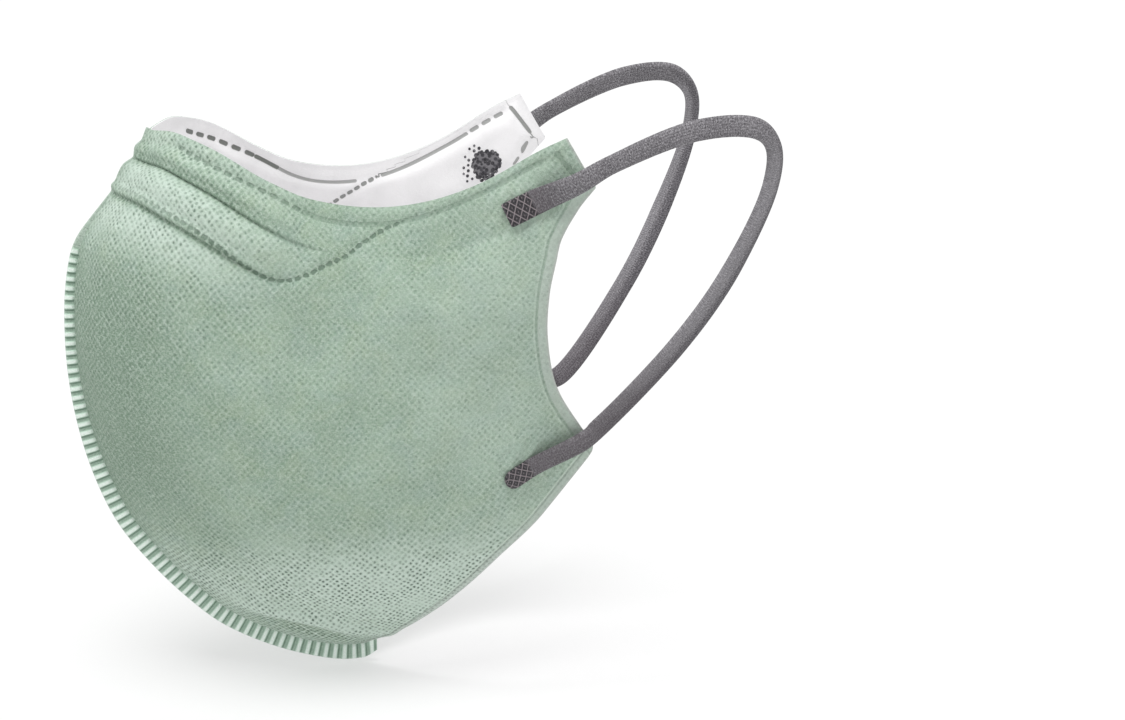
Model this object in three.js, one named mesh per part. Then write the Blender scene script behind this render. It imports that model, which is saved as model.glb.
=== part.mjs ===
// A disposable three-dimensional face mask, half open as it stands on a face. Two cheek halves of
// nonwoven cloth meet in a welded keel that runs from the nose to the chin, and each half has two
// tucks at the nose, a separate white lining and an elastic ear loop welded to its outside.
//
// Millimetres. +Z up, +Y back towards the wearer, +X towards the wearer's left.
// The origin is the top of the keel, where the mask sits on the bridge of the nose.
import * as THREE from "three";

// The keel, seen from the side.
const KEEL_DROP = 135.2; // nose top to chin, straight down
const KEEL_BULGE = 20.4; // how far the keel stands ahead of the nose top
const CHIN_BACK = 52; // the chin behind the nose top

// The cheek half, seen from the side.
const TOP_REACH = 95.4; // nose top to the upper rear corner, straight back
const TOP_DIP = 15.6; // depth of the scoop under the eye
const TAB_BACK = 6.6; // the slanted end of the upper rear corner
const TAB_DROP = 11.7;
const LOWER_REACH = 103.8; // nose top to the lower rear corner, straight back
const LOWER_DROP = 78.2; // nose top to the lower rear corner, straight down
const REAR_HOLLOW = 12.9; // depth of the cut-out in front of the ear
const JAW_SAG = 1.8; // how far the jaw edge bows outwards

// The half-open width, cloth and gaps.
const HALF_WIDTH = 35.5;
const COVER_WALL = 1;
const LINING_WALL = 1;
const GAP = 0.3; // between two pieces that lie against each other

// Tucks at the nose.
const TUCK_STEP = 2; // how far a tuck's fold stands off the cloth below it
const TUCK_DROP = 0.5; // height of the step under the fold

// The welded keel fin.
const FIN_WALL = 1.6;
const FIN_WIDTH = 4.1; // at the chin
const BAR_PITCH = 2.28;
const BAR_WIDTH = 1.25;
const BAR_RISE = 0.3;
const BAR_SLOPE = 0.15; // run of a bar's flank
const BAR_START = 0.19; // share of the keel above the first bar

// Ear loops.
const BAND_WIDTH = 5.3;
const BAND_THICKNESS = 2.4;
const PRESSED_THICKNESS = 1.1; // the welded end
const PRESSED_LENGTH = 8;
const LOOP_REACH = 59; // upper weld to the back of the loop, straight back
const LOOP_RISE = 19.2; // upper weld to the top of the loop
const LOOP_FLARE = 8.8; // how much wider the loop stands than the upper weld
// Where a loop is welded to its cheek, and how wide the press leaves the band as a share of BAND_WIDTH.
const UPPER_WELD = { s: 0.061, t: 0.85, width: 1.17 };
const LOWER_WELD = { s: 0.865, t: 0.81, width: 1 };

// Weld marks inside the lining, behind each end of a loop.
const MARK_RADIUS = 3.7;
const MARK_THICKNESS = 0.4;
const MARK_SIDES = 20;

// Rows of the cheek's mesh: above the first fold, as places down the cheek, and inside the second
// tuck, as shares of the way from the first fold to the second.
const HEM_ROWS = [0, 0.03, 0.058];
const TUCK_ROWS = [0.4, 0.75];
const CHEEK_ROWS_BELOW_TUCKS = 15;
const CHEEK_COLUMNS = 15;
const BAND_STEPS = 56;

// Outlines. Each row's lengths are shares of the sizes that its columns name, and `at` runs from
// 0 to 1 along the line.
// ahead: of KEEL_BULGE. behind: of CHIN_BACK. down: of KEEL_DROP.
const KEEL = [
  { ahead: 0.03, behind: 0, down: 0 },
  { ahead: 0.17, behind: 0, down: 0.048 },
  { ahead: 0.44, behind: 0, down: 0.106 },
  { ahead: 0.725, behind: 0, down: 0.163 },
  { ahead: 0.88, behind: 0, down: 0.207 },
  { ahead: 0.975, behind: 0, down: 0.281 },
  { ahead: 1, behind: 0, down: 0.37 },
  { ahead: 0.975, behind: 0, down: 0.444 },
  { ahead: 0.88, behind: 0, down: 0.533 },
  { ahead: 0.7, behind: 0, down: 0.629 },
  { ahead: 0.43, behind: 0, down: 0.721 },
  { ahead: 0.06, behind: 0, down: 0.799 },
  { ahead: 0, behind: 0.13, down: 0.865 },
  { ahead: 0, behind: 0.28, down: 0.917 },
  { ahead: 0, behind: 0.455, down: 0.956 },
  { ahead: 0, behind: 0.645, down: 0.985 },
  { ahead: 0, behind: 0.83, down: 1 },
  { ahead: 0, behind: 1, down: 1 },
];
// dip: of TOP_DIP, below the line from the nose top.
const TOP_EDGE = [
  { at: 0, dip: 0 },
  { at: 0.05, dip: -0.06 },
  { at: 0.09, dip: -0.01 },
  { at: 0.165, dip: 0.17 },
  { at: 0.28, dip: 0.58 },
  { at: 0.38, dip: 0.865 },
  { at: 0.525, dip: 1 },
  { at: 0.66, dip: 0.91 },
  { at: 0.79, dip: 0.63 },
  { at: 0.93, dip: 0.16 },
  { at: 1, dip: -0.03 },
];
// hollow: of REAR_HOLLOW, ahead of the line from the tab to the lower rear corner.
const REAR_EDGE = [
  { at: 0, hollow: 0 },
  { at: 0.067, hollow: 0.34 },
  { at: 0.174, hollow: 0.71 },
  { at: 0.254, hollow: 0.83 },
  { at: 0.382, hollow: 0.97 },
  { at: 0.55, hollow: 1 },
  { at: 0.749, hollow: 0.8 },
  { at: 0.925, hollow: 0.3 },
  { at: 1, hollow: 0 },
];
// Where the lines across a cheek leave the keel and meet the rear edge. The tab takes the first
// TAB_SHARE of the rear. sag: of KEEL_DROP, how far the middle of the line hangs down.
const TAB_SHARE = 0.16;
const LINES = [
  { at: 0, front: 0, rear: 0, sag: 0 },
  { at: 0.03, front: 0.018, rear: 0.045, sag: 0.01 },
  { at: 0.085, front: 0.042, rear: TAB_SHARE, sag: 0.028 },
  { at: 0.19, front: 0.096, rear: 0.26, sag: 0.037 },
  { at: 0.45, front: 0.37, rear: 0.5, sag: 0.02 },
  { at: 0.7, front: 0.68, rear: 0.75, sag: 0.006 },
  { at: 1, front: 1, rear: 1, sag: 0 },
];
// Half width across a cheek: `full` and `rear` are shares of HALF_WIDTH, `by` is the share of the
// line at which it is full, and `keel` is 0.5 for a round front and 1 for a sharp one.
const WIDTHS = [
  { at: 0, full: 0.69, by: 0.27, rear: 0.96, keel: 0.85 },
  { at: 0.085, full: 0.83, by: 0.32, rear: 0.98, keel: 0.74 },
  { at: 0.19, full: 0.9, by: 0.35, rear: 1, keel: 0.7 },
  { at: 0.4, full: 0.95, by: 0.42, rear: 1, keel: 0.74 },
  { at: 0.6, full: 0.94, by: 0.5, rear: 0.93, keel: 0.78 },
  { at: 0.8, full: 0.84, by: 0.6, rear: 0.79, keel: 0.8 },
  { at: 1, full: 0.66, by: 0.72, rear: 0.65, keel: 0.8 },
];
// Each tuck's fold lies on a line across the cheek. `from` is the line where its cloth starts to
// rise, `ends` is where it dies out, and `height` is a share of TUCK_STEP.
const TUCKS = [
  { from: 0.03, line: 0.085, fades: 0.26, ends: 0.44, height: 0.7 },
  { from: 0.085, line: 0.19, fades: 0.22, ends: 0.37, height: 1 },
];
// Width of the fin as a share of FIN_WIDTH, along the keel.
const FIN = [
  { at: 0, width: 0.14 },
  { at: 0.13, width: 0.16 },
  { at: 0.2, width: 0.48 },
  { at: 0.35, width: 0.62 },
  { at: 0.6, width: 0.84 },
  { at: 0.9, width: 1 },
  { at: 0.98, width: 1 },
  { at: 1, width: 0.6 },
];
// The free run of a loop between its welds: back, up and out from the upper weld, as shares of
// LOOP_REACH, LOOP_RISE and LOOP_FLARE. `low` mixes in the lower weld, whose place and width the
// run comes back to. `turn` is how far the band has turned from lying flat, in degrees, and `width`
// is its share of BAND_WIDTH, which is less where it is stretched or curls at the back.
const LOOP = [
  { back: 0.217, up: 0.33, out: 0.41, low: 0, turn: 1, width: 0.95 },
  { back: 0.346, up: 0.56, out: 0.56, low: 0, turn: -6, width: 0.82 },
  { back: 0.685, up: 0.97, out: 0.85, low: 0, turn: -14, width: 0.96 },
  { back: 0.916, up: 0.98, out: 1.02, low: 0, turn: -21, width: 0.97 },
  { back: 0.992, up: 0.75, out: 0.85, low: 0, turn: -28, width: 0.7 },
  { back: 0.987, up: 0.46, out: 0.77, low: 0.06, turn: -25, width: 0.71 },
  { back: 0.838, up: 0.12, out: 0.5, low: 0.28, turn: -11, width: 0.92 },
  { back: 0.642, up: 0.1, out: 0.05, low: 0.56, turn: 1, width: 0.91 },
  { back: 0.332, up: 0.02, out: -0.53, low: 0.86, turn: -1, width: 0.96 },
  { back: 0.255, up: 0.22, out: -0.12, low: 0.95, turn: -1, width: 0.94 },
];

const clamp = THREE.MathUtils.clamp;
const mix = THREE.MathUtils.lerp;
const smoothstep = THREE.MathUtils.smoothstep;

// The smooth value of a table's column at a place between its rows.
function smooth(table, column, at) {
  const last = table.length - 1;
  let i = 0;
  while (i < last - 1 && at > table[i + 1].at) i++;
  const slope = (k) => {
    const before = table[Math.max(k - 1, 0)];
    const after = table[Math.min(k + 1, last)];
    return (after[column] - before[column]) / (after.at - before.at);
  };
  const [a, b] = [table[i], table[i + 1]];
  const run = b.at - a.at;
  const f = clamp((at - a.at) / run, 0, 1);
  return (
    a[column] * (1 + 2 * f) * (1 - f) ** 2 +
    b[column] * f * f * (3 - 2 * f) +
    run * (slope(i) * f * (1 - f) ** 2 - slope(i + 1) * f * f * (1 - f))
  );
}

// The keel's root, between the cheeks, as a curve in the plane of symmetry.
const keelCurve = new THREE.CatmullRomCurve3(
  KEEL.map(
    ({ ahead, behind, down }) =>
      new THREE.Vector3(0, behind * CHIN_BACK - ahead * KEEL_BULGE, -down * KEEL_DROP),
  ),
  false,
  "centripetal",
);
const keelLength = keelCurve.getLength();

// Outlines as points (y, z).
function keelPoint(at) {
  const { y, z } = keelCurve.getPointAt(clamp(at, 0, 1));
  return new THREE.Vector2(y, z);
}

const NOSE = keelPoint(0);
const CHIN = keelPoint(1);
const UPPER_CORNER = new THREE.Vector2(TOP_REACH, -TOP_EDGE.at(-1).dip * TOP_DIP);
const TAB_CORNER = new THREE.Vector2(TOP_REACH + TAB_BACK, UPPER_CORNER.y - TAB_DROP);
const LOWER_CORNER = new THREE.Vector2(LOWER_REACH, -LOWER_DROP);

function topPoint(t) {
  return new THREE.Vector2(mix(NOSE.x, TOP_REACH, t), -smooth(TOP_EDGE, "dip", t) * TOP_DIP);
}

function jawPoint(t) {
  const along = LOWER_CORNER.clone().sub(CHIN);
  const outwards = new THREE.Vector2(along.y, -along.x).normalize();
  return CHIN.clone().addScaledVector(along, t).addScaledVector(outwards, JAW_SAG * 4 * t * (1 - t));
}

function rearPoint(share) {
  if (share <= TAB_SHARE) return UPPER_CORNER.clone().lerp(TAB_CORNER, share / TAB_SHARE);
  const down = (share - TAB_SHARE) / (1 - TAB_SHARE);
  const point = TAB_CORNER.clone().lerp(LOWER_CORNER, down);
  point.x -= smooth(REAR_EDGE, "hollow", down) * REAR_HOLLOW;
  return point;
}

// How far the cheek stands from the plane of symmetry.
function halfWidth(s, t) {
  const by = smooth(WIDTHS, "by", s);
  const full = smooth(WIDTHS, "full", s) * HALF_WIDTH;
  const rear = smooth(WIDTHS, "rear", s) * HALF_WIDTH;
  const rise = (1 - (1 - Math.min(t / by, 1)) ** 2) ** smooth(WIDTHS, "keel", s);
  return full * rise + (rear - full) * smoothstep(t, by, 1);
}

// A point of the left cheek's outer face without tucks: s from the top edge to the jaw edge, t
// from the keel to the rear edge.
function cheekPoint(s, t) {
  const front = keelPoint(smooth(LINES, "front", s)).sub(NOSE.clone().lerp(CHIN, s));
  const rear = rearPoint(smooth(LINES, "rear", s)).sub(UPPER_CORNER.clone().lerp(LOWER_CORNER, s));
  const p = topPoint(t).lerp(jawPoint(t), s).addScaledVector(front, 1 - t).addScaledVector(rear, t);
  p.y -= smooth(LINES, "sag", s) * KEEL_DROP * 4 * t * (1 - t);
  return new THREE.Vector3(FIN_WALL / 2 + GAP + halfWidth(s, t), p.x, p.y);
}

// The outward direction there, kept in the plane of symmetry along the keel.
function cheekNormal(s, t) {
  const h = 1e-3;
  const [s0, s1] = [Math.max(s - h, 0), Math.min(s + h, 1)];
  const [t0, t1] = [Math.max(t - h, 0), Math.min(t + h, 1)];
  const down = cheekPoint(s1, t).sub(cheekPoint(s0, t));
  const back = cheekPoint(s, t1).sub(cheekPoint(s, t0));
  const normal = down.cross(back).normalize();
  if (t > 0) return normal;
  normal.x = 0;
  return normal.divideScalar(normal.length());
}

// How far the tucks lift the outer face: it swells quickly below a tuck's start.
function tuckLift(s, t) {
  let lift = 0;
  for (const tuck of TUCKS) {
    if (s <= tuck.from || s > tuck.line) continue;
    const left = (tuck.line - s) / (tuck.line - tuck.from);
    lift = TUCK_STEP * tuck.height * (1 - left ** 2) * (1 - smoothstep(t, tuck.fades, tuck.ends));
  }
  return lift;
}

// Columns crowd towards the keel, where the cheek curves most.
const columns = Array.from({ length: CHEEK_COLUMNS + 1 }, (_, i) => (i / CHEEK_COLUMNS) ** 1.6);

// Rows: the hem, two for each tuck's step, those inside the second tuck, and the rest to the jaw.
function cheekRows() {
  const step = TUCK_DROP / KEEL_DROP;
  const [first, second] = TUCKS.map(({ line }) => line);
  const between = TUCK_ROWS.map((share) => mix(first, second, share));
  const last = second + step;
  const below = [];
  for (let i = 1; i <= CHEEK_ROWS_BELOW_TUCKS; i++) below.push(mix(last, 1, i / CHEEK_ROWS_BELOW_TUCKS));
  return [...HEM_ROWS, first, first + step, ...between, second, last, ...below];
}
const rows = cheekRows();

// A closed solid through rings of equally many points. Each ring runs out along one side and back
// along the other, so a ladder of quads caps each end.
function solidThroughRings(rings) {
  const n = rings[0].length;
  const position = new Float32Array(rings.flat().flatMap((p) => p.toArray()));
  const index = [];
  const quad = (a, b, c, d) => index.push(a, b, c, a, c, d);
  for (let r = 0; r + 1 < rings.length; r++) {
    for (let i = 0; i < n; i++) {
      const j = (i + 1) % n;
      quad(r * n + i, (r + 1) * n + i, (r + 1) * n + j, r * n + j);
    }
  }
  const end = (rings.length - 1) * n;
  for (let i = 0; i + 1 < n / 2; i++) {
    const j = n - 1 - i;
    quad(i, i + 1, j - 1, j);
    quad(end + i + 1, end + i, end + j, end + j - 1);
  }
  const geometry = new THREE.BufferGeometry();
  geometry.setAttribute("position", new THREE.BufferAttribute(position, 3));
  geometry.setIndex(index);
  return geometry;
}

// The same solid on the other side of the plane of symmetry.
function mirrored(geometry) {
  const copy = geometry.clone().scale(-1, 1, 1);
  const index = copy.index.array;
  for (let i = 0; i < index.length; i += 3) [index[i + 1], index[i + 2]] = [index[i + 2], index[i + 1]];
  return copy;
}

// A cloth half between two depths below the cheek's outer face. `nearest` is how close to the
// plane of symmetry it comes.
function clothHalf({ outerDepth, innerDepth, nearest, tucked }) {
  const at = (s, t, depth, lift) => {
    const p = cheekPoint(s, t).addScaledVector(cheekNormal(s, t), lift - depth);
    p.x = Math.max(p.x, nearest);
    return p;
  };
  const rings = rows.map((s) => {
    const outer = columns.map((t) => at(s, t, outerDepth, tucked ? tuckLift(s, t) : 0));
    const inner = columns.map((t) => at(s, t, innerDepth, 0));
    const seam = [outer[0], inner[0]].map((p) => p.clone().setX(nearest));
    return nearest < FIN_WALL / 2
      ? [seam[0], ...outer, ...inner.reverse(), seam[1]]
      : [...outer, ...inner.reverse()];
  });
  return solidThroughRings(rings);
}

// The line across the cheek that leaves the keel at a place along it.
function lineAtKeel(front) {
  let [low, high] = [0, 1];
  for (let i = 0; i < 30; i++) {
    const middle = (low + high) / 2;
    if (smooth(LINES, "front", middle) < front) low = middle;
    else high = middle;
  }
  return low;
}

// One ring of the fin, across the keel: its root between the cheeks, the foot of the bars, its edge.
function finRing(at, raised) {
  const s = lineAtKeel(at);
  const root = cheekPoint(s, 0).setX(0);
  const outwards = cheekNormal(s, 0);
  const lift = tuckLift(s, 0);
  const half = FIN_WALL / 2;
  const barHalf = half + (raised ? BAR_RISE : 0);
  const reach = lift + smooth(FIN, "width", at) * FIN_WIDTH;
  const foot = lift + GAP;
  const place = (x, out) => root.clone().addScaledVector(outwards, out).setX(x);
  return [
    place(-half, -COVER_WALL),
    place(-barHalf, foot),
    place(-barHalf, reach),
    place(barHalf, reach),
    place(barHalf, foot),
    place(half, -COVER_WALL),
  ];
}

// The fin: plain at the nose, with bars pressed across it from there to the chin.
function keelFin() {
  const rings = [];
  for (const s of rows) {
    const at = smooth(LINES, "front", s);
    if (at < BAR_START - BAR_PITCH / keelLength) rings.push(finRing(at, false));
  }
  const barRun = (1 - BAR_START) * keelLength;
  const bars = Math.floor(barRun / BAR_PITCH);
  const start = BAR_START * keelLength;
  for (let i = 0; i < bars; i++) {
    const begin = start + i * BAR_PITCH;
    for (const [offset, raised] of [
      [0, false],
      [BAR_SLOPE, true],
      [BAR_WIDTH - BAR_SLOPE, true],
      [BAR_WIDTH, false],
    ]) {
      rings.push(finRing((begin + offset) / keelLength, raised));
    }
  }
  rings.push(finRing(1, false));
  return solidThroughRings(rings);
}

// A place on the outer face of the cover, with the outward direction, raised by a height.
function onCheek({ s, t }, height) {
  const normal = cheekNormal(s, t);
  return { point: cheekPoint(s, t).addScaledVector(normal, height), normal };
}

// The route of the left ear loop from one welded end to the other, and the face of the band.
function loopRoute() {
  const height = GAP + PRESSED_THICKNESS / 2;
  const upper = onCheek(UPPER_WELD, height);
  const lower = onCheek(LOWER_WELD, height);
  const free = LOOP.map(({ back, up, out, low, turn, width }) => {
    const step = new THREE.Vector3(out * LOOP_FLARE, back * LOOP_REACH, up * LOOP_RISE);
    return { point: upper.point.clone().lerp(lower.point, low).add(step), turn, width };
  });
  // A welded end points the way the band leaves it, along the cloth.
  const weldedEnd = ({ point, normal }, { width }, towards) => {
    const leaving = towards.clone().sub(point).projectOnPlane(normal).normalize();
    return [-0.5, 0, 0.5].map((share) => ({
      point: point.clone().addScaledVector(leaving, share * PRESSED_LENGTH),
      turn: 0,
      width,
    }));
  };
  const stations = [
    ...weldedEnd(upper, UPPER_WELD, free[0].point),
    ...free,
    ...weldedEnd(lower, LOWER_WELD, free.at(-1).point).reverse(),
  ];
  const curve = new THREE.CatmullRomCurve3(stations.map((station) => station.point), false, "centripetal");
  return { curve, stations, upper, lower };
}

// The elastic band: a flat rounded section that follows the route, turns edge-on at the back of
// the loop, and is pressed thin at its welded ends.
function earLoop() {
  const { curve, stations, upper, lower } = loopRoute();
  const spans = stations.length - 1;
  const rings = [];
  for (let i = 0; i <= BAND_STEPS; i++) {
    const at = curve.getUtoTmapping(i / BAND_STEPS);
    const along = at * spans;
    const k = Math.min(Math.floor(along), spans - 1);
    const between = (column) => mix(stations[k][column], stations[k + 1][column], along - k);
    const turn = THREE.MathUtils.degToRad(between("turn"));
    const halfWide = (between("width") * BAND_WIDTH) / 2;
    const tangent = curve.getTangent(at);
    const face = upper.normal.clone().lerp(lower.normal, smoothstep(at, 0.15, 0.85));
    face.projectOnPlane(tangent).normalize().applyAxisAngle(tangent, turn);
    const wide = tangent.clone().cross(face);
    const fromEnd = Math.min(i, BAND_STEPS - i) * (curve.getLength() / BAND_STEPS);
    const free = smoothstep(fromEnd, PRESSED_LENGTH * 0.9, PRESSED_LENGTH * 1.6);
    const half = mix(PRESSED_THICKNESS, BAND_THICKNESS, free) / 2;
    // The band stays on the cloth side of its face until it is clear of the cheek.
    const centre = curve.getPoint(at).addScaledVector(face, (half - PRESSED_THICKNESS / 2) * Math.cos(turn));
    const corner = (w, h) =>
      centre.clone().addScaledVector(wide, w * halfWide).addScaledVector(face, h * half);
    rings.push([
      corner(-1, -0.35),
      corner(-0.72, -1),
      corner(0.72, -1),
      corner(1, -0.35),
      corner(1, 0.35),
      corner(0.72, 1),
      corner(-0.72, 1),
      corner(-1, 0.35),
    ]);
  }
  return solidThroughRings(rings);
}

// The round mark that a weld leaves on the lining.
function weldMark(weld) {
  const depth = COVER_WALL + GAP + LINING_WALL + GAP + MARK_THICKNESS / 2;
  const { point, normal } = onCheek(weld, -depth);
  const mark = new THREE.CylinderGeometry(MARK_RADIUS, MARK_RADIUS, MARK_THICKNESS, MARK_SIDES);
  const turn = new THREE.Quaternion().setFromUnitVectors(new THREE.Vector3(0, 1, 0), normal);
  return mark.applyQuaternion(turn).translate(...point.toArray());
}

const clothMaterial = new THREE.MeshStandardMaterial({ color: 0x93b39b, roughness: 0.85 });
const weldMaterial = new THREE.MeshStandardMaterial({ color: 0xa9c9b4, roughness: 0.5 });
const liningMaterial = new THREE.MeshStandardMaterial({ color: 0xe4e2e2, roughness: 0.9 });
const bandMaterial = new THREE.MeshStandardMaterial({ color: 0x6d686d, roughness: 0.95 });
const markMaterial = new THREE.MeshStandardMaterial({ color: 0x3f3c3f, roughness: 0.7 });

const mask = new THREE.Group();

function addPiece(name, geometry, material) {
  const mesh = new THREE.Mesh(geometry, material);
  mesh.name = name;
  mask.add(mesh);
}

function addPair(name, geometry, material) {
  addPiece(`${name}_left`, geometry, material);
  addPiece(`${name}_right`, mirrored(geometry), material);
}

const cover = clothHalf({
  outerDepth: 0,
  innerDepth: COVER_WALL,
  nearest: FIN_WALL / 2 + GAP,
  tucked: true,
});
const lining = clothHalf({
  outerDepth: COVER_WALL + GAP,
  innerDepth: COVER_WALL + GAP + LINING_WALL,
  nearest: GAP / 2,
  tucked: false,
});
addPair("cover", cover, clothMaterial);
addPair("lining", lining, liningMaterial);
addPiece("keel_fin", keelFin(), weldMaterial);
addPair("ear_loop", earLoop(), bandMaterial);
addPair("upper_weld_mark", weldMark(UPPER_WELD), markMaterial);
addPair("lower_weld_mark", weldMark(LOWER_WELD), markMaterial);

export default mask;
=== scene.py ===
"""A half-open shaped face mask above a pale floor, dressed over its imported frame."""
import math

import bpy
import numpy as np
from mathutils import Matrix


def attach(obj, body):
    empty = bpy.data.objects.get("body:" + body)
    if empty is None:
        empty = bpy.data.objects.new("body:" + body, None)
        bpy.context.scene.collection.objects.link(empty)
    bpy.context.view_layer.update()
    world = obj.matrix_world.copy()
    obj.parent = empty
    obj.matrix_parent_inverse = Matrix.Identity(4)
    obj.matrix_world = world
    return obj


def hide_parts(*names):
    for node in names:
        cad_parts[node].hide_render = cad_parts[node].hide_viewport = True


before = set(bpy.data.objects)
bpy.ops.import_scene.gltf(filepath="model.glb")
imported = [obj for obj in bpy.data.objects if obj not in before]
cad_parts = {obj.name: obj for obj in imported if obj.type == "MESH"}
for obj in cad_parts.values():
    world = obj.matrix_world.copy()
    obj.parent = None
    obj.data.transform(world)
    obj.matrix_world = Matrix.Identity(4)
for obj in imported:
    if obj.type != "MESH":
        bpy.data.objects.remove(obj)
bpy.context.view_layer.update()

# Lengths are millimetres until a mesh is made. Shares run from 0 to 1: s down the cheek from its
# top edge to the jaw, t back from the keel to the ear.
MM = 0.001

# The sizes of the frame.
KEEL_DROP = 135.2
KEEL_BULGE = 20.4
CHIN_BACK = 52.0
TOP_REACH = 95.4
TOP_DIP = 15.6
TAB_BACK = 6.6
TAB_DROP = 11.7
LOWER_REACH = 103.8
LOWER_DROP = 78.2
REAR_HOLLOW = 12.9
JAW_SAG = 1.8
HALF_WIDTH = 35.5
GAP = 0.3
FIN_WALL = 1.6
FIN_WIDTH = 4.1
BAR_PITCH = 2.28
BAR_WIDTH = 1.5
BAR_START = 0.19
BAND_WIDTH = 5.3
BAND_THICKNESS = 2.4
PRESSED_THICKNESS = 1.1
PRESSED_LENGTH = 8.0
LOOP_REACH = 59.0
LOOP_RISE = 19.2
LOOP_FLARE = 8.8
UPPER_WELD = (0.061, 0.85)
LOWER_WELD = (0.865, 0.81)
UPPER_WELD_WIDTH = 1.17
LOWER_WELD_WIDTH = 1
LINING_DEPTH = 2.3
TAB_SHARE = 0.16

# The soft forms: how far the welds lie in from the rim, how round the corners are, how much the
# band's edges curl, how far the rim moves, and where along the keel the chin's dip is deepest.
HEM_INSET = 2.8
CORNER_RADIUS = 3
CURL = 5
CHIN_CUT = 2
CHIN_TAPER = 0.8
REAR_BOW = 1.1
JAW_BOW = 1.4
CHIN_FOLD = 161

# The stage, and the photo's viewpoint.
FLOOR_HEIGHT = -140.5
FLOOR_HALF = 3000
CAMERA_AZIMUTH = -10.1
CAMERA_BACK = (0.95184, -0.16955, 0.25545)
CAMERA_PLACE = (604.85, -7.02, 99.83)
CAMERA_LENS = 80
SKY_STRENGTH = 0.65
BACKDROP_STRENGTH = 1.05

# The frame's outlines: "at" is a place along one, and the other columns are shares of named sizes.
# In WIDTHS "by" is the t where a section is at its widest and "keel" is the power of its rise, and
# in LOOP "low" is the share of the way to the lower weld and "turn" is in degrees.
KEEL = {
    "ahead": [0.03, 0.17, 0.44, 0.725, 0.88, 0.975, 1, 0.975, 0.88, 0.7, 0.43, 0.06, 0, 0, 0, 0, 0, 0],
    "behind": [0, 0, 0, 0, 0, 0, 0, 0, 0, 0, 0, 0, 0.13, 0.28, 0.455, 0.645, 0.83, 1],
    "down": [0, 0.048, 0.106, 0.163, 0.207, 0.281, 0.37, 0.444, 0.533, 0.629, 0.721, 0.799]
    + [0.865, 0.917, 0.956, 0.985, 1, 1],
}
TOP_EDGE = {
    "at": [0, 0.05, 0.09, 0.165, 0.28, 0.38, 0.525, 0.66, 0.79, 0.93, 1],
    "dip": [0, -0.06, -0.01, 0.17, 0.58, 0.865, 1, 0.91, 0.63, 0.16, -0.03],
}
REAR_EDGE = {
    "at": [0, 0.067, 0.174, 0.254, 0.382, 0.55, 0.749, 0.925, 1],
    "hollow": [0, 0.34, 0.71, 0.83, 0.97, 1, 0.8, 0.3, 0],
}
LINES = {
    "at": [0, 0.03, 0.085, 0.19, 0.45, 0.7, 1],
    "front": [0, 0.018, 0.042, 0.096, 0.37, 0.68, 1],
    "rear": [0, 0.045, TAB_SHARE, 0.26, 0.5, 0.75, 1],
    "sag": [0, 0.01, 0.028, 0.037, 0.02, 0.006, 0],
}
WIDTHS = {
    "at": [0, 0.085, 0.19, 0.4, 0.6, 0.8, 1],
    "full": [0.69, 0.83, 0.9, 0.95, 0.94, 0.84, 0.66],
    "by": [0.27, 0.32, 0.35, 0.42, 0.5, 0.6, 0.72],
    "rear": [0.96, 0.98, 1, 1, 0.93, 0.79, 0.65],
    "keel": [0.85, 0.74, 0.7, 0.74, 0.78, 0.8, 0.8],
}
FIN = {
    "at": [0, 0.13, 0.2, 0.35, 0.6, 0.9, 0.98, 1],
    "width": [0.14, 0.16, 0.48, 0.66, 0.98, 1, 1, 0.6],
}
LOOP = {
    "back": [0.217, 0.346, 0.685, 0.916, 0.992, 0.987, 0.838, 0.642, 0.332, 0.255],
    "up": [0.33, 0.56, 0.97, 0.98, 0.75, 0.46, 0.12, 0.1, 0.02, 0.22],
    "out": [0.41, 0.56, 0.85, 1.02, 0.85, 0.77, 0.5, 0.05, -0.53, -0.12],
    "low": [0, 0, 0, 0, 0, 0.06, 0.28, 0.56, 0.86, 0.95],
    "turn": [1, -6, -14, -21, -28, -25, -11, 1, -1, -1],
    "width": [0.95, 0.82, 0.96, 0.97, 0.7, 0.71, 0.92, 0.91, 0.96, 0.94],
}
TUCKS = [
    {"start": 0.03, "line": 0.085, "fades": 0.26, "ends": 0.44, "height": 1.6},
    {"start": 0.085, "line": 0.19, "fades": 0.22, "ends": 0.37, "height": 2.2},
]
# A tuck's rise from where it starts down to its fold, as a share of its height in millimetres: it
# swells, dips where it is welded and ends in a narrow ridge.
SWELL = {
    "at": [0, 0.15, 0.3, 0.45, 0.6, 0.75, 0.87, 0.94, 1],
    "rise": [0, 0.42, 0.8, 1, 0.97, 0.77, 0.52, 0.66, 0.66],
}
# Painted light and shade over the nose, from its top edge down: pale at the top edge and just below each
# fold, dark above and along each fold's line.
PAINTED_NOSE_SHADING = {
    "at": [0, 0.03, 0.05, 0.075, 0.0835, 0.0865, 0.097, 0.12]
    + [0.15, 0.175, 0.187, 0.1925, 0.202, 0.225, 0.26, 0.3],
    "painted_shading": [0.6, 0.5, -0.1, -0.8, -1, -1.2, 0.55, 1.05, 1.0, 0.95, 0.1, -1.3, 0.8, 1.0, 0.4, -0.1],
}
# The rounded lip of a tuck and the groove under it: where each row leaves the fold's line, how far it
# hangs over it in millimetres, and its height over the cloth below as a share of the ridge's.
LIP = [
    (-0.013, 0, 1),
    (-0.009, 0, 1),
    (-0.006, 0.02, 0.98),
    (-0.004, 0.1, 0.93),
    (-0.0026, 0.16, 0.82),
    (-0.0016, 0.22, 0.62),
    (-0.0008, 0.22, 0.38),
    (0.0002, 0.12, 0.12),
    (0.0014, 0.02, -0.1),
    (0.0028, 0, -0.2),
    (0.0046, 0, -0.24),
    (0.0066, 0, -0.16),
    (0.009, 0, -0.05),
]
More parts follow.
